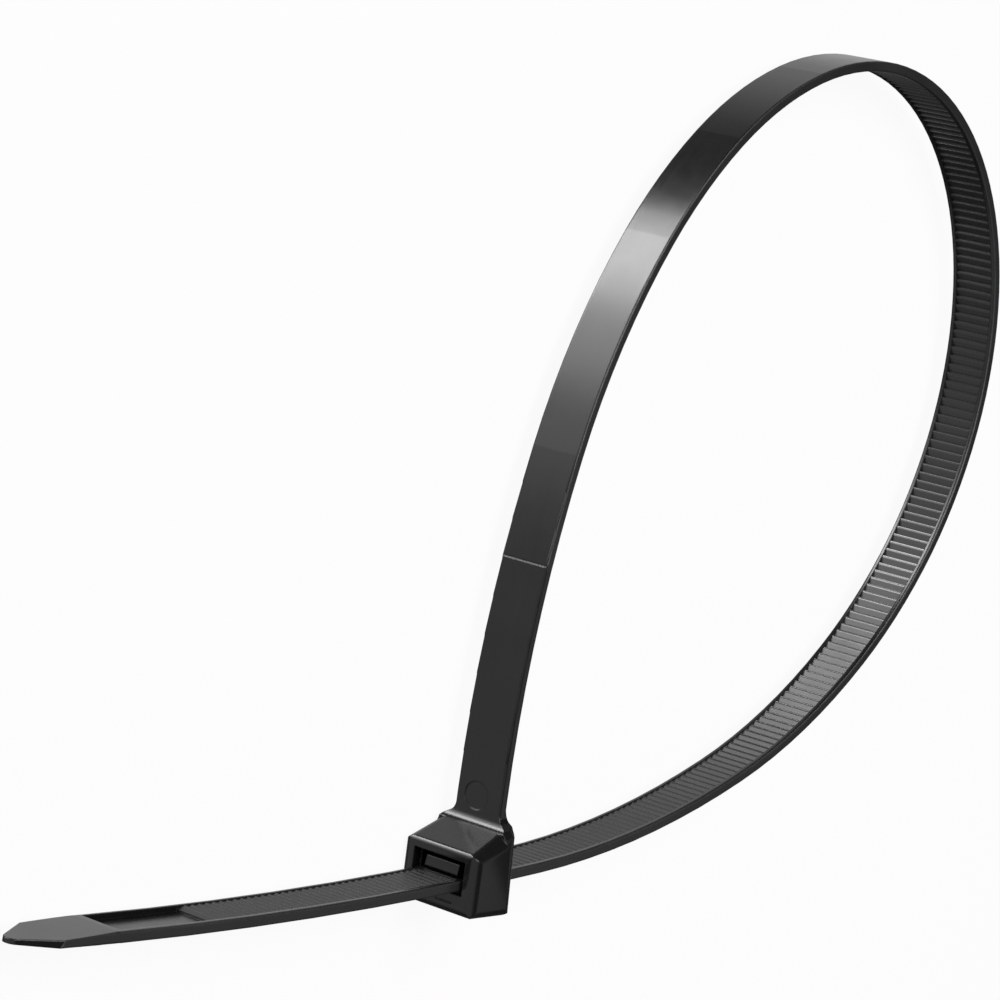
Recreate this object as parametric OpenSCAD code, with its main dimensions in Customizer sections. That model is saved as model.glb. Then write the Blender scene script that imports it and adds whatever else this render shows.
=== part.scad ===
// A nylon cable tie, closed in a loop with its tail through the head.
// One moulding: toothed strap, neck, head and the pawl inside it.
// It lies on its side. X runs along the slot, Y up the neck, Z across the strap.

/* [Strap] */
// Overall length of the tie from the end of the head to the tip
tie_len = 451.6; // [440:0.1:470]
// Width of the strap
strap_w = 7.6; // [6.4:0.1:8.4]
// Thickness of the strap over its rails
strap_t = 1.5; // [1.3:0.05:1.8]
// Width of the rail along each edge of the strap
rail_w = 0.7; // [0.5:0.05:1]
// Depth of the channel between the rails
channel_d = 0.8; // [0.6:0.05:0.9]
// Radius of the strap's edges on the toothed side
shoulder_r = 0.35; // [0.2:0.05:0.6]
// Radius of the strap's edges on the smooth back
back_r = 0.25; // [0.1:0.05:0.4]

/* [Teeth] */
// Pitch of the teeth along the channel
tooth_pitch = 1.3464; // [1.1:0.01:1.8]
// Height of a tooth's crest over the channel floor
crest_h = 0.74; // [0.5:0.02:0.76]
// Height of the root between two teeth over the channel floor
root_h = 0.32; // [0.1:0.02:0.4]
// Length of a tooth's steep face along the strap
steep_len = 0.16; // [0.05:0.01:0.4]
// Length of the flat along a tooth's crest
crest_len = 0.12; // [0.05:0.01:0.3]
// Place of the first crest, measured along the strap from the end of the straight neck
teeth_from = 32.59; // [20:0.01:60]
// Number of teeth
teeth_n = 275; // [100:1:280]

/* [Loop] */
// Radius of the loop where it turns back, opposite the head
loop_far_r = 43.25; // [36:0.05:52]
// How many times flatter the loop bends beside the head than opposite it
loop_flat = 3.87; // [3.4:0.01:4.2]
// Radius of the slight bow of the tail
tail_r = 870; // [600:1:1500]

/* [Tail] */
// Length of the plain pad at the end of the tail
pad_len = 16.2; // [12:0.1:25]
// Length of the tapered tip
tip_len = 6.1; // [4:0.1:10]
// Radius of the rounded end of the tip
tip_r = 1.2; // [0.6:0.1:2]
// Thickness of the strap at the tip's end
tip_t = 0.6; // [0.5:0.05:1.2]

/* [Neck] */
// Length of the solid neck past its straight part
neck_len = 32.3; // [15:0.1:45]
// Radius of the round mark left by the mould's ejector pin
pin_mark_r = 1.95; // [1:0.05:2.5]
// Distance of the round mark along the neck from the strap's line
pin_mark_at = 10.65; // [9.8:0.05:14]
// Distance of the round mark to one side of the strap's middle
pin_mark_side = 0.5; // [0:0.1:1]
// Depth of the mould's marks
mark_d = 0.1; // [0.05:0.01:0.15]
// Width of the mould's line marks
line_w = 0.2; // [0.1:0.05:0.4]

/* [Head] */
// Width of the head across the strap
head_w = 12.7; // [12:0.1:15]
// Distance from the neck's centre to the face where the tail comes out
exit_x = 7.8; // [7:0.1:9]
// Distance from the neck's centre to the face where the tail goes in
entry_x = 1.35; // [1.2:0.05:2]
// Distance from the strap's line down to the end of the head, where the tail goes in
head_drop = 4.75; // [4.2:0.05:5.5]
// How much higher the end of the head is where the tail comes out
bottom_slant = 0.75; // [0:0.05:0.9]
// Height of the front edge of the head over the strap's line
front_rise = 4.85; // [4.6:0.05:5.6]
// Slope of the top of the head, in degrees
top_slope = 18; // [10:1:20]
// Height of the shoulders over the strap's line at the sides of the head
shoulder_low = 6.95; // [6:0.05:7.5]
// Height of the shoulders over the strap's line at the sides of the neck
shoulder_high = 8.15; // [7.6:0.05:9]
// Radius of the hollow where the shoulders meet the sides of the neck
shoulder_hollow_r = 1.4; // [0.4:0.1:2]
// Drop of the shoulders' corners toward the face where the tail goes in
corner_drop = 1.65; // [0.5:0.05:2.5]
// Radius of the head's upright edges
head_edge_r = 1.4; // [0.5:0.1:1.6]
// Radius of the shoulders' corners
shoulder_edge_r = 0.8; // [0.4:0.1:1.2]
// Radius of the edges along both sides of the sloped top
slope_edge_r = 1.7; // [0.5:0.1:1.9]
// Radius of the front edge of the sloped top
front_edge_r = 0.75; // [0.2:0.05:0.8]
// Radius of the edges at the bottom of the head along the slot
bottom_side_r = 1.3; // [0.5:0.1:1.8]
// Radius of the edges at the bottom of the head across the slot
bottom_edge_r = 1.6; // [0.5:0.1:2]
// Radius of the hollow where the sloped top meets the neck
neck_hollow_r = 1.6; // [0.6:0.1:1.8]
// Length of the fine line under the slot, in the face where the tail comes out
core_line_len = 2.8; // [1:0.1:3.5]
// Distance of that line from the strap's line down
core_line_drop = 2.35; // [1.5:0.05:2.4]

/* [Slot] */
// Clearance between the strap and the slot, above, below and on each side
slot_gap = 0.3; // [0.15:0.05:0.4]
// Extra width of the slot's mouth on each side
mouth_extra = 0.25; // [0.1:0.05:0.5]
// Depth of the wider mouth
mouth_d = 1.6; // [0.8:0.1:2.5]
// Height of the pawl's chamber over the strap's line
chamber_rise = 3.6; // [3.4:0.05:3.8]

/* [Pawl] */
// Width of the pawl
pawl_w = 5.6; // [4:0.1:6.5]
// Height of the pawl's back over the strap's line
pawl_rise = 2.75; // [2.6:0.05:2.9]
// Height of the pawl's flat end
pawl_end_h = 1.45; // [1:0.05:1.5]
// Setback of the pawl's end from the face where the tail comes out
pawl_back = 0.6; // [0.3:0.05:1]
// Thickness of the pawl's hinge
hinge_t = 0.8; // [0.6:0.05:1]
// Length of the thin hinge
hinge_len = 1.6; // [1:0.1:2]
// Number of teeth under the pawl
pawl_teeth = 3; // [2:1:3]
// Gap between the pawl's teeth and the strap's teeth
pawl_gap = 0.14; // [0.1:0.01:0.2]

/* [Hidden] */
$fn = 48;
black = "#262728";
overlap = 0.1;

// Travel directions in the first quarter turn, from 3-4-5 and 7-24-25 triangles.
// Such seams have even coordinates, so neighbouring bends meet face to face.
quarter = [[0, 1], [0.28, 0.96], [0.6, 0.8], [0.8, 0.6], [0.96, 0.28]];
per_quarter = len(quarter);
seams = concat(
    quarter,
    [for (d = quarter) [d.y, -d.x]],
    [for (d = quarter) [-d.x, -d.y]],
    [[-1, 0]]
);
bends = len(seams) - 1;
seam_reach = 500;
tail_reach = 1000;

function heading(i) =
    90 - 90 * floor(i / per_quarter)
    - atan2(quarter[i % per_quarter].x, quarter[i % per_quarter].y);
function swing(i) = heading(i) - heading(i + 1);

// A springy strap that closes on itself bends as a free elastic loop does:
// the square of its curvature follows the cosine of its angle to the loop's axis.
loop_axis = -45;
far_k2 = 1 / pow(loop_far_r, 2);
near_k2 = far_k2 / pow(loop_flat, 2);
function lean(i) = cos((heading(i) + heading(i + 1)) / 2 - loop_axis);
function free_r(i) = 1 / sqrt(near_k2 + (far_k2 - near_k2) * (lean(i) - lean(0)) / (1 - lean(0)));
bend_r = [for (i = [0 : bends - 1]) round(10 * free_r(i)) / 10];

function right_of(d) = [d.y, -d.x];
function bend_step(i) = bend_r[i] * (right_of(seams[i]) - right_of(seams[i + 1]));
function bend_len(i) = bend_r[i] * swing(i) * PI / 180;
function sum_steps(i) = i == 0 ? [0, 0] : sum_steps(i - 1) + bend_step(i - 1);
function sum_lens(i) = i == 0 ? 0 : sum_lens(i - 1) + bend_len(i - 1);

// The straight neck is as long as the loop needs to come back to the strap's line at y = 0.
neck_run = -sum_steps(bends).y;
starts = [for (i = [0 : bends]) [0, neck_run] + sum_steps(i)];
lens = [for (i = [0 : bends]) sum_lens(i)];
loop_len = lens[bends];
tail_len = tie_len - head_drop - neck_run - loop_len;
tail_centre = starts[bends] + [0, tail_r];
pad_from = tail_len - pad_len;
taper_from = tail_len - tip_len;

function bend_at(s) = max([for (i = [0 : bends]) lens[i] <= s ? i : 0]);
function tail_angle(run) = run / tail_r * 180 / PI;
function spoke(run) = [-sin(tail_angle(run)), -cos(tail_angle(run))];
// Point at a run s along the strap and a height above its centre line, toward the toothed side.
function bend_point(i, s, up) =
    let (a = heading(i) - (s - lens[i]) / bend_r[i] * 180 / PI)
    starts[i] + bend_r[i] * right_of(seams[i]) + (bend_r[i] - up) * [-sin(a), cos(a)];
function tail_point(run, up) =
    tail_centre - (tail_r - up) * [sin(tail_angle(run)), cos(tail_angle(run))];
function strap_point(s, up) =
    s < loop_len ? bend_point(bend_at(s), s, up) : tail_point(s - loop_len, up);

floor_up = strap_t / 2 - channel_d;
root_up = floor_up + root_h;
crest_up = floor_up + crest_h;
channel_w = strap_w - 2 * rail_w;

slot_half = strap_w / 2 + slot_gap;
slot_bottom = -strap_t / 2 - slot_gap;
slot_top = strap_t / 2 + slot_gap;
neck_back = -strap_t / 2;
flare_top = shoulder_high + 1.4;
head_mid = head_w / 2;

// The pawl's teeth take the same steps as the strap's, so they follow the strap's crests.
pawl_end = -exit_x + pawl_back;
function crest_at(k) = teeth_from + k * tooth_pitch;
last_pawl_tooth = floor((loop_len + starts[bends].x - pawl_end - crest_at(0)) / tooth_pitch) - 1;

// A corner between a and b, cut back to where a circle of radius r touches both sides.
function unit(v) = v / norm(v);
function half_angle(c, a, b) = acos(unit(a - c) * unit(b - c)) / 2;
function cut_corner(c, a, b, r) = [
    c + unit(a - c) * r / tan(half_angle(c, a, b)),
    c + unit(b - c) * r / tan(half_angle(c, a, b))
];
function round_centre(c, a, b, r) =
    c + unit(unit(a - c) + unit(b - c)) * r / sin(half_angle(c, a, b));
function turns_left(c, a, b) = cross(c - a, b - c) > 0;

// Outline of the strap across its run, with the toothed side toward -X.
module strap_outline() {
    side = strap_w / 2;
    top = strap_t / 2;
    translate([shoulder_r - top, -side])
        square([strap_t - shoulder_r - back_r, strap_w]);
    translate([-top, shoulder_r - side])
        square([strap_t / 2, strap_w - 2 * shoulder_r]);
    translate([0, back_r - side])
        square([strap_t / 2, strap_w - 2 * back_r]);
    for (m = [-1, 1]) {
        translate([shoulder_r - top, m * (side - shoulder_r)])
            circle(shoulder_r);
        translate([top - back_r, m * (side - back_r)])
            circle(back_r);
    }
}

module channel_outline() {
    difference() {
        strap_outline();
        translate([-strap_t / 2 - overlap, -channel_w / 2])
            square([channel_d + overlap, channel_w]);
    }
}

// Part of a ring between two directions from its centre.
module arc_piece(centre, r, from, to, reach, open) {
    intersection() {
        translate([centre.x, centre.y, 0])
            rotate_extrude($fn = 360)
                translate([r, 0])
                    if (open) channel_outline();
                    else strap_outline();
        linear_extrude(height = strap_w + 2, center = true)
            polygon([centre, centre + reach * from, centre + reach * to]);
    }
}

module bend(i) {
    centre = starts[i] + bend_r[i] * right_of(seams[i]);
    from = -right_of(seams[i]);
    to = -right_of(seams[i + 1]);
    if (i == 0) {
        a = 180 - neck_len / bend_r[0] * 180 / PI;
        neck_end = [cos(a), sin(a)];
        arc_piece(centre, bend_r[i], from, neck_end, seam_reach, false);
        arc_piece(centre, bend_r[i], neck_end, to, seam_reach, true);
    } else {
        arc_piece(centre, bend_r[i], from, to, seam_reach, true);
    }
}

// The neck starts inside the head, over the slot's roof.
module straight_neck() {
    from = min(shoulder_low - 1, neck_run - 0.5);
    translate([0, from, 0])
        rotate([-90, 0, 0])
            linear_extrude(height = neck_run - from)
                rotate(180)
                    strap_outline();
}

module tail() {
    arc_piece(tail_centre, tail_r, spoke(0), spoke(pad_from), tail_reach, true);
    difference() {
        arc_piece(tail_centre, tail_r, spoke(pad_from), spoke(tail_len), tail_reach, false);
        tip_cuts();
        pad_slope();
    }
}

// What comes off both sides of the tip: a straight taper, then a quarter of the rounded end.
module tip_cuts() {
    at = tail_point(taper_from, 0);
    half = strap_w / 2;
    nose = [tip_r - tip_len, 0];
    start = [0, half];
    first = atan2(half, tip_len - tip_r) + acos(tip_r / norm(start - nose));
    steps = 6;
    arc = [
        for (k = [0 : steps])
        let (a = first + (180 - first) * k / steps)
        nose + tip_r * [cos(a), sin(a)]
    ];
    side = concat(
        [start + 3 * unit(start - arc[0])],
        arc,
        [[-tip_len - 1, 0], [-tip_len - 1, 2 * strap_w], [3, 2 * strap_w]]
    );
    translate([at.x, at.y, 0])
        rotate(-tail_angle(taper_from))
            rotate([90, 0, 0])
                for (m = [-1, 1])
                    linear_extrude(height = 4 * strap_t, center = true)
                        polygon([for (v = side) [v.x, m * v.y]]);
}

// What comes off the toothed side of the pad, so that it thins toward the tip.
module pad_slope() {
    linear_extrude(height = strap_w + 2, center = true)
        polygon([
            tail_point(pad_from + 0.5, strap_t / 2 + 0.02),
            tail_point(tail_len + 1, tip_t - strap_t / 2),
            tail_point(tail_len + 1, 2 * strap_t),
            tail_point(pad_from + 0.5, 2 * strap_t)
        ]);
}

// Comb of teeth that lies in the channel, sunk a little into its floor and its rails.
module rack() {
    run_in = teeth_from - steep_len - crest_len;
    run_out = run_in + teeth_n * tooth_pitch;
    bed = floor_up - overlap;
    upper = [
        for (k = [0 : teeth_n - 1])
        let (s = teeth_from + k * tooth_pitch)
        each [
            strap_point(s - crest_len - steep_len, root_up),
            strap_point(s - crest_len, crest_up),
            strap_point(s, crest_up)
        ]
    ];
    lower = [for (k = [teeth_n : -1 : 0]) strap_point(run_in + k * tooth_pitch, bed)];
    linear_extrude(height = channel_w + 2 * overlap, center = true)
        polygon(concat(upper, [strap_point(run_out, root_up)], lower));
}

// Outline whose corners are rounded, or hollowed where it turns in. Corners run anticlockwise,
// each given as a point and its radius.
module rounded(corners) {
    n = len(corners);
    function at(i) = corners[(i + n) % n][0];
    difference() {
        union() {
            polygon([
                for (i = [0 : n - 1])
                each corners[i][1] > 0
                    ? cut_corner(at(i), at(i - 1), at(i + 1), corners[i][1])
                    : [at(i)]
            ]);
            for (i = [0 : n - 1])
                if (corners[i][1] > 0 && turns_left(at(i), at(i - 1), at(i + 1)))
                    translate(round_centre(at(i), at(i - 1), at(i + 1), corners[i][1]))
                        circle(corners[i][1]);
        }
        for (i = [0 : n - 1])
            if (corners[i][1] > 0 && !turns_left(at(i), at(i - 1), at(i + 1)))
                translate(round_centre(at(i), at(i - 1), at(i + 1), corners[i][1]))
                    circle(corners[i][1]);
    }
}

// Side view of the head, with the hollow that runs up to the back of the neck.
module side_view() {
    slope_end = front_rise + (exit_x + neck_back) * tan(top_slope);
    rounded([
        [[-exit_x, bottom_slant - head_drop], bottom_edge_r],
        [[entry_x, -head_drop], bottom_edge_r],
        [[entry_x, shoulder_low - corner_drop], 0],
        [[strap_t / 2, flare_top], 0],
        [[neck_back, flare_top], 0],
        [[neck_back, slope_end], neck_hollow_r],
        [[-exit_x, front_rise], front_edge_r]
    ]);
}

// View of the head from the front, as [up, across].
module front_view() {
    side = strap_w / 2;
    rounded([
        [[-head_drop - 1, head_mid], 0],
        [[-head_drop - 1, -head_mid], 0],
        [[shoulder_low, -head_mid], shoulder_edge_r],
        [[shoulder_high, -side], shoulder_hollow_r],
        [[flare_top + 1, shoulder_r - side], 0],
        [[flare_top + 1, side - shoulder_r], 0],
        [[shoulder_high, side], shoulder_hollow_r],
        [[shoulder_low, head_mid], shoulder_edge_r]
    ]);
}

module top_view() {
    rounded([
        [[-exit_x, -head_mid], head_edge_r],
        [[entry_x, -head_mid], head_edge_r],
        [[entry_x, head_mid], head_edge_r],
        [[-exit_x, head_mid], head_edge_r]
    ]);
}

// Cutters that round an edge on both sides of the head, from a point in its front face.
module edge_cuts(from, tilt, run, r) {
    for (m = [0, 1])
        mirror([0, 0, m])
            translate([from.x, from.y, head_mid])
                rotate(tilt)
                    rotate([0, -90, 0])
                        translate([0, 0, -run])
                            linear_extrude(height = run + 2)
                                mirror([0, from.y < 0 ? 1 : 0])
                                    difference() {
                                        translate([-r, -r])
                                            square(r + 1);
                                        translate([-r, -r])
                                            circle(r);
                                    }
}

module slope_edge_cuts() {
    run = (exit_x + neck_back - 0.6 * neck_hollow_r) / cos(top_slope);
    edge_cuts([-exit_x, front_rise], top_slope, run, slope_edge_r);
}

module bottom_edge_cuts() {
    run = exit_x + entry_x;
    edge_cuts([-exit_x, bottom_slant - head_drop], -atan(bottom_slant / run), run + 2, bottom_side_r);
}

module head_block() {
    intersection() {
        linear_extrude(height = 2 * head_w, center = true)
            side_view();
        rotate([0, 90, 0])
            rotate(90)
                linear_extrude(height = 4 * exit_x, center = true)
                    front_view();
        rotate([-90, 0, 0])
            linear_extrude(height = 6 * exit_x, center = true)
                top_view();
    }
}

// Slices off the shoulders' two corners at the side where the tail goes in.
module corner_cuts() {
    across = head_mid - strap_w / 2;
    along = [0, flare_top - shoulder_low + corner_drop, -across];
    back = [neck_back - entry_x, corner_drop, 0];
    out = cross(along, back);
    for (m = [0, 1])
        mirror([0, 0, m])
            translate([entry_x, shoulder_low - corner_drop, head_mid])
                rotate([0, acos(out.z / norm(out)), atan2(out.y, out.x)])
                    translate([-head_w, -head_w, 0])
                        cube([2 * head_w, 2 * head_w, head_w]);
}

module slot() {
    chamber_back = hinge_len / 4;
    translate([-exit_x - 1, slot_bottom, -slot_half])
        cube([exit_x + entry_x + 2, slot_top - slot_bottom, 2 * slot_half]);
    translate([-exit_x - 1, slot_bottom, -slot_half])
        cube([exit_x + 1 - chamber_back, chamber_rise - slot_bottom, 2 * slot_half]);
    translate([-exit_x - 1, slot_bottom, -slot_half - mouth_extra])
        cube([mouth_d + 1, chamber_rise - slot_bottom, 2 * (slot_half + mouth_extra)]);
}

// Tongue that springs from the wall over the slot and hooks its teeth behind the strap's.
module pawl() {
    first = last_pawl_tooth - pawl_teeth + 1;
    nudge = [pawl_gap, pawl_gap];
    teeth = [
        for (k = [last_pawl_tooth : -1 : first])
        each [
            strap_point(crest_at(k), crest_up) + nudge,
            strap_point(crest_at(k) - crest_len, crest_up) + nudge,
            strap_point(crest_at(k) - crest_len - steep_len, root_up) + nudge
        ]
    ];
    root = [-hinge_len / 4, pawl_rise];
    linear_extrude(height = pawl_w, center = true)
        polygon(concat(
            [[pawl_end, pawl_rise], [pawl_end, pawl_rise - pawl_end_h]],
            teeth,
            [
                [-hinge_len, pawl_rise - hinge_t],
                root + [overlap, -hinge_t],
                root + [overlap, 0]
            ]
        ));
}

// Marks left by the mould: the ejector pin's round, a fine line at the end of the neck
// and another under the slot.
module mould_marks() {
    line_at = strap_point(neck_len, -strap_t / 2);
    translate([neck_back, pin_mark_at, -pin_mark_side])
        rotate([0, 90, 0])
            cylinder(h = 2 * mark_d, r = pin_mark_r, center = true);
    translate([line_at.x, line_at.y, 0])
        rotate(-neck_len / bend_r[0] * 180 / PI)
            cube([2 * mark_d, line_w, strap_w + 1], center = true);
    translate([-exit_x - mark_d, -core_line_drop - line_w / 2, 0.1])
        cube([2 * mark_d, line_w, core_line_len]);
}

module head() {
    difference() {
        head_block();
        slope_edge_cuts();
        bottom_edge_cuts();
        corner_cuts();
        slot();
    }
    pawl();
}

module cable_tie() {
    color(black)
        translate([0, 0, head_w / 2])
            difference() {
                union() {
                    head();
                    straight_neck();
                    for (i = [0 : bends - 1]) bend(i);
                    tail();
                    rack();
                }
                mould_marks();
            }
}

cable_tie();
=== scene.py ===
"""Dresses the closed cable tie in black nylon and sets a plain studio round it."""

import math

import bpy
from mathutils import Matrix, Vector


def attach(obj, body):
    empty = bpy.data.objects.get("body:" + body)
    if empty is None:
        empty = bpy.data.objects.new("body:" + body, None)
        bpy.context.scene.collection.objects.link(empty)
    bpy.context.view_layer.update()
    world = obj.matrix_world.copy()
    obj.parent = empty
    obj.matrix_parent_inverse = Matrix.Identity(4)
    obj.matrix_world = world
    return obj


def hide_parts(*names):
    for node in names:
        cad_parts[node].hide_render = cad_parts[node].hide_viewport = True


bl_info = {
    "name": "Closed Cable Tie",
    "version": (1, 0, 0),
    "blender": (4, 5, 0),
    "location": "3D View > Sidebar > Cable Tie",
    "description": "Finishes a moulded nylon cable tie and lights it on a plain table",
    "category": "Object",
}

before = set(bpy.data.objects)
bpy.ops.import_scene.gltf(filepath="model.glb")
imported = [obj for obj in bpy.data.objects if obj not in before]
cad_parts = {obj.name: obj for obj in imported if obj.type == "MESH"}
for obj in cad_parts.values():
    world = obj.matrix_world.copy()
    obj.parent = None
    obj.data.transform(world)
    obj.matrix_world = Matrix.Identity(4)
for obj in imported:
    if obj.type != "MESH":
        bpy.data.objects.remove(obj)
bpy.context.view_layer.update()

MM = 0.001

# Sizes are in mm and angles in degrees, unless a property says otherwise.
# The strap's line is bent as in the part's source: its radii follow a free elastic loop.
LOOP_FAR_R = 43.25
LOOP_FLAT = 3.87
LOOP_AXIS = -45.0
QUARTER = ((0.0, 1.0), (0.28, 0.96), (0.6, 0.8), (0.8, 0.6), (0.96, 0.28))
TAIL_R = 870.0
BEND_SLACK = 0.6
STRAP_REACH = 2.0

# The strap's middle plane and half width, and its channel, by height over the strap's line.
MID_Z = 6.35
STRAP_HALF = 3.8
CHANNEL_HALF = 3.12
CHANNEL_LOW = -0.2
CHANNEL_HIGH = 0.74

# The teeth, by run along the strap.
TEETH_FROM = 32.59
TEETH_N = 275
TOOTH_PITCH = 1.3464
CREST_LEN = 0.12
CREST_MARGIN = 0.03
RAMP_RISE = 0.394
TEETH_LEAD = 0.5

# Material slots, and what counts as the strap's narrow side.
POLISHED, CHANNEL, SIDE = range(3)
SIDE_BAND = (-0.3, 0.05)
SIDE_TILT = 0.6

# Upper edge of the pawl's end.
PAWL_END = -7.2
PAWL_GAP = 0.02
PAWL_Y = (2.6, 2.9)
PAWL_HALF = 2.85

# The shoulders between neck and head.
SHOULDER_X = (-8.0, 1.5)
SHOULDER_Y = (5.0, 9.0)
TAPER_LEN = 1.9

# A corner's run is taken a hair inside its face, so that it falls on its own face's bend.
INWARD = 0.001
RUN_MAP = "Strap run"

# Nylon's refractive index, the darkest and lightest share of its colour, and its grain's depth.
NYLON_IOR = 1.53
TONES = (0.8, 1.3)
GRAIN_DEPTH = 0.02

# The photo's camera, fitted to the loop, the head and the tail.
CAMERA_RIGHT = (0.609495, 0.128377, 0.782327)
CAMERA_UP = (0.071713, 0.973829, -0.215672)
CAMERA_BACK = (-0.78954, 0.187554, 0.584338)
CAMERA_PLACE = (-412.755, 148.640, 308.259)

# Lamps, each as place, aim, width and depth.
OVERHEAD = ((-150, 500, 900), (10, 50, 0), 700, 700)
SIDE_CARD = ((130, -50, 135), (0, 0, 12), 200, 80)

# The soft box glows under the table's level. Its three strips fade away from the bright side:
# name, azimuth, spread, share of the power.
BOX_AIM = (15.0, 75.0, 6.0)
BOX_REACH = 1200.0
BOX_RISE = -35.0
BOX_HEIGHT = 1000.0
BOX_STRIPS = (
    ("soft_box_bright", 118.0, 20.0, 1.0),
    ("soft_box_middle", 137.0, 18.0, 0.28),
    ("soft_box_faint", 155.0, 18.0, 0.08),
)


def right_of(d):
    """The direction a quarter turn to the right of d."""
    return Vector((d[1], -d[0]))


def strap_line():
    """Bends of the strap, each as centre, radius, first and last heading and the run so far."""
    dirs = [Vector(q) for q in QUARTER]
    dirs += [right_of(q) for q in QUARTER]
    dirs += [-Vector(q) for q in QUARTER]
    dirs.append(Vector((-1.0, 0.0)))
    step = [math.degrees(math.atan2(q[0], q[1])) for q in QUARTER]
    head = [90 - 90 * (i // 5) - step[i % 5] for i in range(16)]
    far_k2 = 1 / LOOP_FAR_R**2
    near_k2 = far_k2 / LOOP_FLAT**2
    lean = [math.cos(math.radians((a + b) / 2 - LOOP_AXIS)) for a, b in zip(head, head[1:])]
    radii = []
    for c in lean:
        k2 = near_k2 + (far_k2 - near_k2) * (c - lean[0]) / (1 - lean[0])
        radii.append(round(10 / math.sqrt(k2)) / 10)
    steps = [r * (right_of(dirs[i]) - right_of(dirs[i + 1])) for i, r in enumerate(radii)]
    start = Vector((0.0, -sum(s.y for s in steps)))
    bends = []
    run = 0.0
    for i, r in enumerate(radii):
        bends.append((start + r * right_of(dirs[i]), r, head[i], head[i + 1], run))
        run += r * math.radians(head[i] - head[i + 1])
        start = start + steps[i]
    return bends, start, run


BENDS, TAIL_START, LOOP_RUN = strap_line()


def strap_place(p):
    """Run along the strap from the end of the straight neck, and height toward the teeth."""
    best = None
    for centre, r, a, b, run in BENDS:
        off = p - centre
        heading = math.degrees(math.atan2(off.y, off.x)) - 90
        turned = (a - heading) % 360
        if turned > 180:
            turned -= 360
        if -BEND_SLACK <= turned <= a - b + BEND_SLACK:
            up = r - off.length
            if best is None or abs(up) < abs(best[1]):
                best = (run + r * math.radians(turned), up)
    if best is not None and abs(best[1]) < STRAP_REACH:
        return best
    if p.x < TAIL_START.x:
        tail_centre = TAIL_START + Vector((0, TAIL_R))
        return LOOP_RUN + TAIL_START.x - p.x, TAIL_R - (tail_centre - p).length
    return p.y - BENDS[0][0].y, -p.x


class NylonLook(bpy.types.PropertyGroup):
    """Colour and finish of the moulding."""

    colour: bpy.props.FloatVectorProperty(
        name="Nylon colour",
        description="Colour of the black nylon",
        subtype="COLOR",
        default=(0.005, 0.005, 0.0055),
        min=0.0,
        max=1.0,
    )
    gloss: bpy.props.FloatProperty(
        name="Roughness",
        description="Roughness of the smooth moulded faces",
        subtype="FACTOR",
        default=0.22,
        min=0.05,
        max=0.9,
    )
    shine: bpy.props.FloatProperty(
        name="Shine",
        description="How strongly the smooth moulded faces reflect",
        subtype="FACTOR",
        default=0.5,
        min=0.0,
        max=1.0,
    )
    channel_gloss: bpy.props.FloatProperty(
        name="Channel roughness",
        description="Roughness of the toothed channel",
        subtype="FACTOR",
        default=0.5,
        min=0.05,
        max=0.9,
    )
    channel_shine: bpy.props.FloatProperty(
        name="Channel shine",
        description="How strongly the toothed channel reflects",
        subtype="FACTOR",
        default=0.78,
        min=0.0,
        max=1.0,
    )
    side_gloss: bpy.props.FloatProperty(
        name="Side roughness",
        description="Roughness of the strap's narrow sides, where the mould parts",
        subtype="FACTOR",
        default=0.5,
        min=0.05,
        max=0.9,
    )
    side_shine: bpy.props.FloatProperty(
        name="Side shine",
        description="How strongly the strap's narrow sides reflect",
        subtype="FACTOR",
        default=1.0,
        min=0.0,
        max=1.0,
    )
    soft_edge: bpy.props.FloatProperty(
        name="Soft edges",
        description="Radius over which the moulding's edges are shaded as rounded",
        unit="LENGTH",
        default=0.3 * MM,
    )
    worn: bpy.props.FloatProperty(
        name="Worn crest",
        description="Length of the rounded, polished top of each tooth's ramp",
        unit="LENGTH",
        default=0.22 * MM,
    )
    pawl_slant: bpy.props.FloatProperty(
        name="Pawl slant",
        description="How far the upper edge of the pawl's end leans back",
        unit="LENGTH",
        default=0.35 * MM,
    )
    shoulder_in: bpy.props.FloatProperty(
        name="Shoulder taper",
        description="How much of the shoulders' overhang is drawn in at their top",
        subtype="FACTOR",
        default=0.3,
        min=0.0,
        max=0.6,
    )
    merge: bpy.props.FloatProperty(
        name="Merge distance",
        description="Corners of the packed faces closer than this are joined",
        unit="LENGTH",
        default=2e-6,
    )


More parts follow.
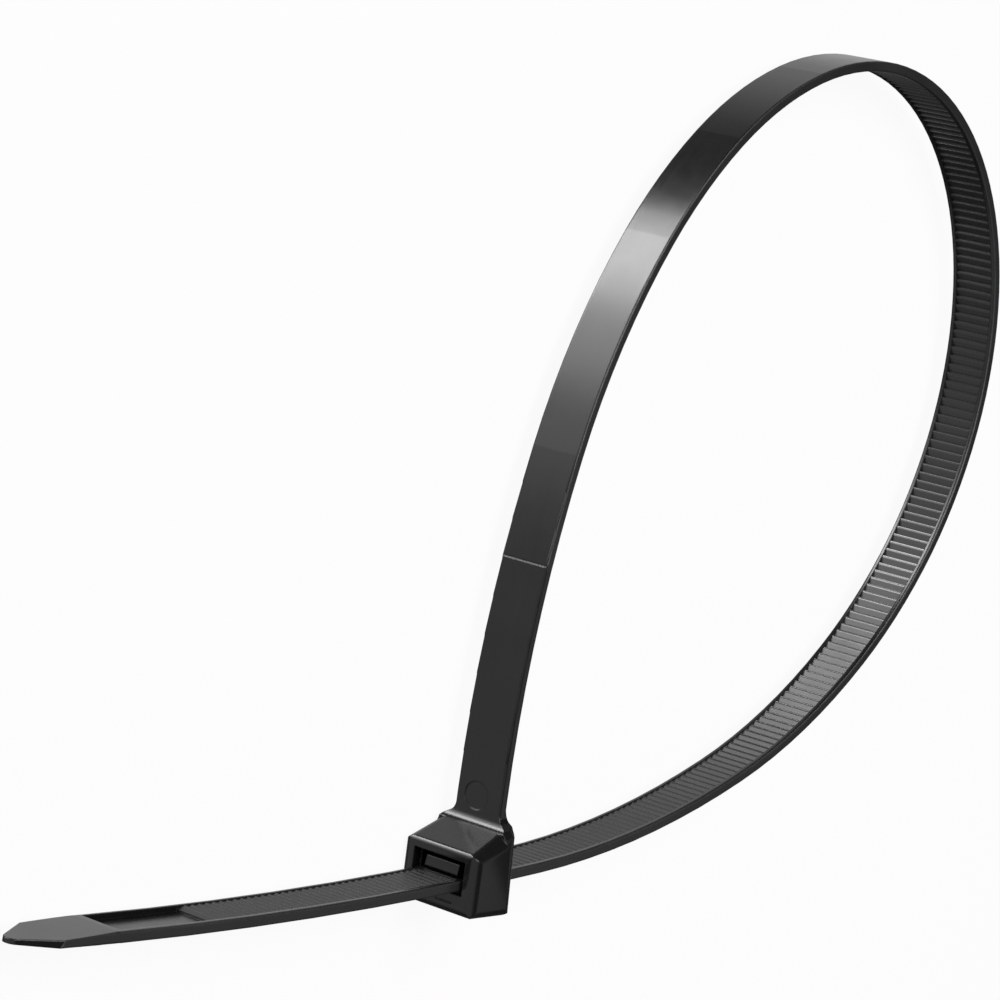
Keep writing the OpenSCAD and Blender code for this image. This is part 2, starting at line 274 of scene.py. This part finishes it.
class StudioLook(bpy.types.PropertyGroup):
    """Table, lamps and camera."""

    table: bpy.props.FloatVectorProperty(
        name="Table colour",
        description="Colour of the table",
        subtype="COLOR",
        default=(0.9, 0.9, 0.9),
        min=0.0,
        max=1.0,
    )
    table_width: bpy.props.FloatProperty(
        name="Table width",
        description="Width of the plain table",
        unit="LENGTH",
        default=12.0,
    )
    table_white: bpy.props.FloatProperty(
        name="Table white",
        description="Share of plain white in the table as the camera sees it",
        subtype="FACTOR",
        default=0.93,
        min=0.0,
        max=1.0,
    )
    key: bpy.props.FloatProperty(
        name="Key lamp",
        description="Power of the large soft lamp overhead",
        unit="POWER",
        default=8.0,
    )
    card: bpy.props.FloatProperty(
        name="Side card",
        description="Power of the small card that lights the head's upper side",
        unit="POWER",
        default=0.016,
    )
    edge: bpy.props.FloatProperty(
        name="Soft box",
        description="Power of the soft box beside the camera",
        unit="POWER",
        default=12.5,
    )
    room_front: bpy.props.FloatProperty(
        name="Room in front",
        description="Strength of the room's light from in front of the head",
        default=0.5,
        min=0.0,
    )
    room_rest: bpy.props.FloatProperty(
        name="Room elsewhere",
        description="Strength of the room's light from all other sides",
        default=0.05,
        min=0.0,
    )
    room_low: bpy.props.FloatProperty(
        name="Room beyond",
        description="Strength of the room's low light from beyond the loop",
        default=0.62,
        min=0.0,
    )
    lens: bpy.props.FloatProperty(
        name="Lens",
        description="Focal length of the camera in millimetres",
        unit="CAMERA",
        default=141.77,
    )


def only(obj):
    """Selects one object and nothing else."""
    bpy.ops.object.select_all(action="DESELECT")
    obj.select_set(True)
    bpy.context.view_layer.objects.active = obj


def node(tree, kind, place, **values):
    """Shader node at a place in its tree, with its settings."""
    n = tree.nodes.new(kind)
    n.location = place
    for key, value in values.items():
        setattr(n, key, value)
    return n


def maths(tree, operation, a, b, place, clamp=False):
    """Math node on two numbers or sockets, or on one and None."""
    n = node(tree, "ShaderNodeMath", place, operation=operation, use_clamp=clamp)
    for socket, value in zip(n.inputs, (a, b)):
        if isinstance(value, float):
            socket.default_value = value
        elif value is not None:
            tree.links.new(value, socket)
    return n.outputs[0]


def moulded_surface():
    """Node group for moulded nylon: flow streaks along the strap, fine grain and rubbed gloss."""
    group = bpy.data.node_groups.new("Moulded surface", "ShaderNodeTree")
    face = group.interface
    for name in ("Roughness", "Streaks", "Grain"):
        socket = face.new_socket(name=name, in_out="INPUT", socket_type="NodeSocketFloat")
        socket.min_value = 0.0
        socket.max_value = 1.0
        socket.default_value = 0.3
    for name in ("Roughness", "Height", "Tone"):
        face.new_socket(name=name, in_out="OUTPUT", socket_type="NodeSocketFloat")
    enter = node(group, "NodeGroupInput", (-1200, 0))
    leave = node(group, "NodeGroupOutput", (700, 0))
    run = node(group, "ShaderNodeUVMap", (-1200, 320), uv_map=RUN_MAP)
    coord = node(group, "ShaderNodeTexCoord", (-1200, -320))
    stretch = node(group, "ShaderNodeMapping", (-1000, 320))
    stretch.inputs["Scale"].default_value = (0.06, 9.0, 1.0)
    streaks = node(group, "ShaderNodeTexNoise", (-800, 320))
    streaks.inputs["Scale"].default_value = 1.0
    streaks.inputs["Detail"].default_value = 4.0
    streaks.inputs["Roughness"].default_value = 0.62
    grain = node(group, "ShaderNodeTexNoise", (-800, -120))
    grain.inputs["Scale"].default_value = 5200.0
    grain.inputs["Detail"].default_value = 3.0
    cloud = node(group, "ShaderNodeTexNoise", (-800, -420))
    cloud.inputs["Scale"].default_value = 130.0
    cloud.inputs["Detail"].default_value = 5.0
    cloud.inputs["Roughness"].default_value = 0.6
    link = group.links.new
    link(run.outputs["UV"], stretch.inputs["Vector"])
    link(stretch.outputs["Vector"], streaks.inputs["Vector"])
    link(coord.outputs["Object"], grain.inputs["Vector"])
    link(coord.outputs["Object"], cloud.inputs["Vector"])
    streak = maths(group, "SUBTRACT", streaks.outputs["Fac"], 0.5, (-600, 320))
    streak = maths(group, "MULTIPLY", streak, enter.outputs["Streaks"], (-400, 320))
    fine = maths(group, "SUBTRACT", grain.outputs["Fac"], 0.5, (-600, -120))
    fine = maths(group, "MULTIPLY", fine, enter.outputs["Grain"], (-400, -120))
    patch = maths(group, "SUBTRACT", cloud.outputs["Fac"], 0.5, (-600, -420))
    drawn = maths(group, "MULTIPLY", streak, 0.5, (-200, 320))
    rubbed = maths(group, "MULTIPLY", patch, 0.16, (-200, -420))
    rough = maths(group, "ADD", enter.outputs["Roughness"], drawn, (0, 320))
    rough = maths(group, "ADD", rough, rubbed, (200, 320))
    link(rough, leave.inputs["Roughness"])
    link(maths(group, "ADD", streak, fine, (0, 0)), leave.inputs["Height"])
    link(maths(group, "ADD", streak, patch, (0, -320)), leave.inputs["Tone"])
    return group


def tooth_crests(tree, worn):
    """Mask and bump of the teeth's crests: a worn, polished line at each pitch of the run."""
    run = node(tree, "ShaderNodeUVMap", (-1700, -600), uv_map=RUN_MAP)
    parts = node(tree, "ShaderNodeSeparateXYZ", (-1500, -600))
    tree.links.new(run.outputs["UV"], parts.inputs["Vector"])
    turns = maths(tree, "SUBTRACT", parts.outputs["X"], TEETH_FROM, (-1300, -600))
    turns = maths(tree, "DIVIDE", turns, TOOTH_PITCH, (-1150, -600))
    past = maths(tree, "FRACT", turns, None, (-1000, -600))
    past = maths(tree, "MULTIPLY", past, TOOTH_PITCH, (-850, -600))
    near = maths(tree, "DIVIDE", past, worn / MM, (-700, -600))
    near = maths(tree, "SUBTRACT", 1.0, near, (-550, -600), clamp=True)
    crest_from = TOOTH_PITCH - CREST_LEN - CREST_MARGIN
    flat = maths(tree, "GREATER_THAN", past, crest_from, (-550, -750))
    crest = maths(tree, "MAXIMUM", near, flat, (-400, -600))
    drop = maths(tree, "MULTIPLY", near, near, (-400, -450))
    bump = node(tree, "ShaderNodeBump", (-200, -450), invert=True)
    bump.inputs["Strength"].default_value = 1.0
    bump.inputs["Distance"].default_value = RAMP_RISE * worn / 2
    tree.links.new(drop, bump.inputs["Height"])
    return crest, bump.outputs["Normal"]


def nylon(look, surface, name, gloss, shine, streaks, grain, relief, toothed):
    """Black nylon as it leaves the mould. Relief is how deep its streaks and grain show."""
    mat = bpy.data.materials.new(name)
    mat.use_nodes = True
    tree = mat.node_tree
    tree.nodes.clear()
    out = node(tree, "ShaderNodeOutputMaterial", (600, 0))
    shader = node(tree, "ShaderNodeBsdfPrincipled", (300, 0))
    shader.inputs["IOR"].default_value = NYLON_IOR
    shader.inputs["Specular IOR Level"].default_value = shine
    moulded = node(tree, "ShaderNodeGroup", (-500, 0), node_tree=surface)
    moulded.inputs["Roughness"].default_value = gloss
    moulded.inputs["Streaks"].default_value = streaks
    moulded.inputs["Grain"].default_value = grain
    tint = node(tree, "ShaderNodeMapRange", (-250, 200))
    tint.inputs["From Min"].default_value = -0.4
    tint.inputs["From Max"].default_value = 0.4
    ramp = node(tree, "ShaderNodeMix", (-20, 200), data_type="RGBA")
    for end, share in zip("AB", TONES):
        ramp.inputs[end].default_value = (*[c * share for c in look.colour], 1)
    bump = node(tree, "ShaderNodeBump", (0, -250))
    bump.inputs["Strength"].default_value = relief
    bump.inputs["Distance"].default_value = GRAIN_DEPTH * MM
    link = tree.links.new
    link(moulded.outputs["Tone"], tint.inputs["Value"])
    link(tint.outputs["Result"], ramp.inputs["Factor"])
    link(ramp.outputs["Result"], shader.inputs["Base Color"])
    link(moulded.outputs["Height"], bump.inputs["Height"])
    link(bump.outputs["Normal"], shader.inputs["Normal"])
    if toothed:
        crest, normal = tooth_crests(tree, look.worn)
        link(normal, bump.inputs["Normal"])
        polish = node(tree, "ShaderNodeMix", (100, -80), data_type="FLOAT")
        polish.inputs["B"].default_value = look.gloss
        link(crest, polish.inputs["Factor"])
        link(moulded.outputs["Roughness"], polish.inputs["A"])
        link(polish.outputs["Result"], shader.inputs["Roughness"])
    else:
        soft = node(tree, "ShaderNodeBevel", (-200, -450), samples=6)
        soft.inputs["Radius"].default_value = look.soft_edge
        link(soft.outputs["Normal"], bump.inputs["Normal"])
        link(moulded.outputs["Roughness"], shader.inputs["Roughness"])
    link(shader.outputs["BSDF"], out.inputs["Surface"])
    return mat


def finish_of(run, up, off, tilt):
    """Material slot of a face, from its place on the strap and its tilt to the strap's side."""
    in_channel = CHANNEL_LOW < up < CHANNEL_HIGH and off < CHANNEL_HALF
    if in_channel and -TEETH_LEAD < run - TEETH_FROM < TEETH_N * TOOTH_PITCH:
        return CHANNEL
    on_side = SIDE_BAND[0] < off - STRAP_HALF < SIDE_BAND[1] and abs(tilt) > SIDE_TILT
    return SIDE if on_side and run > TEETH_FROM else POLISHED


class TIE_OT_moulding(bpy.types.Operator):
    """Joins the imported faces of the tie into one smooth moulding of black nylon"""

    bl_idname = "cable_tie.moulding"
    bl_label = "Nylon moulding"

    def execute(self, context):
        look = context.scene.nylon_look
        only(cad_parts["cable_tie"])
        bpy.ops.object.duplicate()
        tie = context.view_layer.objects.active
        tie.name = "tie_moulding"
        tie.parent = None
        tie.data.materials.clear()
        self.join_faces(tie, look.merge)
        self.lean_pawl(tie.data, look.pawl_slant)
        self.narrow_shoulders(tie.data, look.shoulder_in)
        self.map_run(tie.data)
        surface = moulded_surface()
        # Name, roughness, shine, streaks, grain and relief of each finish.
        finishes = (
            ("Black nylon", look.gloss, look.shine, 0.35, 0.25, 0.25),
            ("Black nylon channel", look.channel_gloss, look.channel_shine, 0.2, 0.6, 0.6),
            ("Black nylon side", look.side_gloss, look.side_shine, 0.35, 0.5, 0.25),
        )
        for slot, finish in enumerate(finishes):
            tie.data.materials.append(nylon(look, surface, *finish, toothed=slot == CHANNEL))
        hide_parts("cable_tie")
        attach(tie, "root")
        return {"FINISHED"}

    def join_faces(self, tie, distance):
        """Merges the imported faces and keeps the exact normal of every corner."""
        only(tie)
        normals = [c for n in tie.data.corner_normals for c in n.vector]
        kept = tie.data.attributes.new("kept_normal", "FLOAT_VECTOR", "CORNER")
        kept.data.foreach_set("vector", normals)
        bpy.ops.object.mode_set(mode="EDIT")
        bpy.ops.mesh.select_all(action="SELECT")
        bpy.ops.mesh.remove_doubles(threshold=distance)
        bpy.ops.object.mode_set(mode="OBJECT")
        kept = tie.data.attributes["kept_normal"]
        normals = [tuple(n.vector) for n in kept.data]
        tie.data.attributes.remove(kept)
        bpy.ops.object.shade_smooth()
        tie.data.normals_split_custom_set(normals)

    def lean_pawl(self, mesh, slant):
        """Leans the pawl's end back, by its upper edge."""
        for v in mesh.vertices:
            x, y, z = v.co / MM
            at_end = abs(x - PAWL_END) < PAWL_GAP and abs(z - MID_Z) < PAWL_HALF
            if at_end and PAWL_Y[0] < y < PAWL_Y[1]:
                v.co.x += slant

    def narrow_shoulders(self, mesh, share):
        """Draws in the shoulders where they overhang the strap's width, fading in along y."""
        for v in mesh.vertices:
            x, y, z = v.co / MM
            over = abs(z - MID_Z) - STRAP_HALF
            at_shoulder = SHOULDER_Y[0] < y < SHOULDER_Y[1] and SHOULDER_X[0] < x < SHOULDER_X[1]
            if over > 0 and at_shoulder:
                t = min((y - SHOULDER_Y[0]) / TAPER_LEN, 1.0)
                pull = over * share * t * t * (3 - 2 * t) * MM
                v.co.z -= math.copysign(pull, z - MID_Z)

    def map_run(self, mesh):
        """Maps run along the strap and place across it, in mm, and sorts the faces by finish."""
        for layer in list(mesh.uv_layers):
            mesh.uv_layers.remove(layer)
        run_map = mesh.uv_layers.new(name=RUN_MAP)
        for face in mesh.polygons:
            corners = [mesh.vertices[v].co for v in face.vertices]
            middle = sum(corners, Vector()) / len(corners)
            run, up = strap_place(middle.xy / MM)
            face.material_index = finish_of(run, up, abs(middle.z / MM - MID_Z), face.normal.z)
            for i in face.loop_indices:
                co = mesh.vertices[mesh.loops[i].vertex_index].co
                near = co.xy.lerp(middle.xy, INWARD) / MM
                run_map.data[i].uv = (strap_place(near)[0], co.z / MM)


class TIE_OT_studio(bpy.types.Operator):
    """Sets the tie on a plain pale table under soft lamps, seen from above at one side"""

    bl_idname = "cable_tie.studio"
    bl_label = "Studio"

    def execute(self, context):
        look = context.scene.studio_look
        self.table(look)
        self.backdrop(context.scene, look)
        self.lamps(look)
        self.camera(context.scene, look)
        return {"FINISHED"}

    def table(self, look):
        """Pale table, mostly plain white to the camera; reflections and lamps pass through it."""
        bpy.ops.object.select_all(action="DESELECT")
        bpy.ops.mesh.primitive_plane_add(size=look.table_width, location=(0, 0, 0))
        top = bpy.context.view_layer.objects.active
        top.name = "table"
        top.visible_shadow = False
        top.visible_glossy = False
        mat = bpy.data.materials.new("Pale table")
        mat.use_nodes = True
        tree = mat.node_tree
        tree.nodes.clear()
        out = node(tree, "ShaderNodeOutputMaterial", (600, 0))
        matt = node(tree, "ShaderNodeBsdfDiffuse", (0, -100))
        matt.inputs["Color"].default_value = (*look.table, 1)
        glow = node(tree, "ShaderNodeEmission", (0, 100))
        glow.inputs["Color"].default_value = (1, 1, 1, 1)
        glow.inputs["Strength"].default_value = 1.0
        path = node(tree, "ShaderNodeLightPath", (-400, 300))
        mix = node(tree, "ShaderNodeMixShader", (300, 0))
        seen = path.outputs["Is Camera Ray"]
        link = tree.links.new
        link(maths(tree, "MULTIPLY", seen, look.table_white, (-200, 300)), mix.inputs["Fac"])
        link(matt.outputs["BSDF"], mix.inputs[1])
        link(glow.outputs["Emission"], mix.inputs[2])
        link(mix.outputs["Shader"], out.inputs["Surface"])
        top.data.materials.append(mat)

    def backdrop(self, scene, look):
        """White to the camera, and a dim room to the tie, brighter in front and low beyond it."""
        world = scene.world or bpy.data.worlds.new("Studio")
        scene.world = world
        world.use_nodes = True
        tree = world.node_tree
        tree.nodes.clear()
        out = node(tree, "ShaderNodeOutputWorld", (600, 0))
        seen = node(tree, "ShaderNodeBackground", (0, 100))
        seen.inputs["Color"].default_value = (1, 1, 1, 1)
        seen.inputs["Strength"].default_value = 1.0
        room = node(tree, "ShaderNodeBackground", (0, -100))
        room.inputs["Color"].default_value = (1, 1, 1, 1)
        coord = node(tree, "ShaderNodeTexCoord", (-1400, -100))
        parts = node(tree, "ShaderNodeSeparateXYZ", (-1200, -100))

        def fade(axis, start, end, low, high, place):
            n = node(tree, "ShaderNodeMapRange", place, interpolation_type="SMOOTHSTEP")
            n.inputs["From Min"].default_value = start
            n.inputs["From Max"].default_value = end
            n.inputs["To Min"].default_value = low
            n.inputs["To Max"].default_value = high
            tree.links.new(parts.outputs[axis], n.inputs["Value"])
            return n.outputs["Result"]

        # Each fade runs over one part of the direction that is looked in.
        front = fade("X", -0.1, -0.6, look.room_rest, look.room_front, (-900, 100))
        beyond = fade("X", 0.0, 0.55, 0.0, look.room_low, (-900, -100))
        above = fade("Y", -0.5, 0.0, 0.0, 1.0, (-900, -300))
        below = fade("Z", 0.1, -0.2, 0.0, 1.0, (-900, -500))
        corner = maths(tree, "MULTIPLY", above, below, (-700, -400))
        glow = maths(tree, "MULTIPLY", beyond, corner, (-500, -300))
        level = maths(tree, "ADD", front, glow, (-300, -100))
        path = node(tree, "ShaderNodeLightPath", (-200, 300))
        mix = node(tree, "ShaderNodeMixShader", (300, 0))
        link = tree.links.new
        link(path.outputs["Is Camera Ray"], mix.inputs["Fac"])
        link(room.outputs["Background"], mix.inputs[1])
        link(seen.outputs["Background"], mix.inputs[2])
        link(coord.outputs["Generated"], parts.inputs["Vector"])
        link(level, room.inputs["Strength"])
        link(mix.outputs["Shader"], out.inputs["Surface"])

    def lamp(self, name, place, aim, width, depth, power):
        """Area lamp at a place, turned to its aim, that the camera doesn't see."""
        bpy.ops.object.select_all(action="DESELECT")
        bpy.ops.object.light_add(type="AREA", location=[v * MM for v in place])
        lamp = bpy.context.view_layer.objects.active
        lamp.name = name
        lamp.data.shape = "RECTANGLE"
        lamp.data.size = width * MM
        lamp.data.size_y = depth * MM
        lamp.data.energy = power
        lamp.visible_camera = False
        to = Vector([a - b for a, b in zip(aim, place)])
        lamp.rotation_mode = "QUATERNION"
        lamp.rotation_quaternion = to.to_track_quat("-Z", "Y")

    def lamps(self, look):
        """Soft lamp overhead, small card beside the head and the strips of the soft box."""
        self.lamp("overhead", *OVERHEAD, look.key)
        self.lamp("side_card", *SIDE_CARD, look.card)
        aim = Vector(BOX_AIM)
        rise = math.radians(BOX_RISE)
        level = math.cos(rise)
        for name, azimuth, spread, share in BOX_STRIPS:
            a = math.radians(azimuth)
            away = Vector((math.cos(a) * level, math.sin(a) * level, math.sin(rise)))
            width = 2 * BOX_REACH * level * math.tan(math.radians(spread / 2))
            place = aim + BOX_REACH * away
            self.lamp(name, place, aim, width, BOX_HEIGHT, look.edge * share)

    def camera(self, scene, look):
        """The photo's camera, which looks down on the tie from its tail's side."""
        bpy.ops.object.select_all(action="DESELECT")
        bpy.ops.object.camera_add()
        cam = bpy.context.view_layer.objects.active
        axes = [Vector(axis) for axis in (CAMERA_RIGHT, CAMERA_UP, CAMERA_BACK)]
        turn = Matrix(axes).transposed().to_4x4()
        cam.matrix_world = Matrix.Translation(Vector(CAMERA_PLACE) * MM) @ turn
        cam.data.sensor_fit = "HORIZONTAL"
        cam.data.sensor_width = 36.0
        cam.data.lens = look.lens
        cam.data.clip_start = 0.01
        cam.data.clip_end = 50.0
        scene.camera = cam


class TIE_PT_panel(bpy.types.Panel):
    """Buttons and values for the cable tie"""

    bl_idname = "TIE_PT_panel"
    bl_label = "Cable Tie"
    bl_space_type = "VIEW_3D"
    bl_region_type = "UI"
    bl_category = "Cable Tie"

    def draw(self, context):
        column = self.layout.column()
        for group in (context.scene.nylon_look, context.scene.studio_look):
            for name in group.__annotations__:
                column.prop(group, name)
        column.operator(TIE_OT_moulding.bl_idname)
        column.operator(TIE_OT_studio.bl_idname)


CLASSES = (NylonLook, StudioLook, TIE_OT_moulding, TIE_OT_studio, TIE_PT_panel)


def register():
    for cls in CLASSES:
        bpy.utils.register_class(cls)
    bpy.types.Scene.nylon_look = bpy.props.PointerProperty(type=NylonLook)
    bpy.types.Scene.studio_look = bpy.props.PointerProperty(type=StudioLook)


def unregister():
    del bpy.types.Scene.studio_look
    del bpy.types.Scene.nylon_look
    for cls in reversed(CLASSES):
        bpy.utils.unregister_class(cls)


def main():
    register()
    bpy.ops.cable_tie.studio()
    bpy.ops.cable_tie.moulding()
    scene = bpy.context.scene
    scene.view_settings.view_transform = "Standard"


if __name__ == "__main__":
    main()
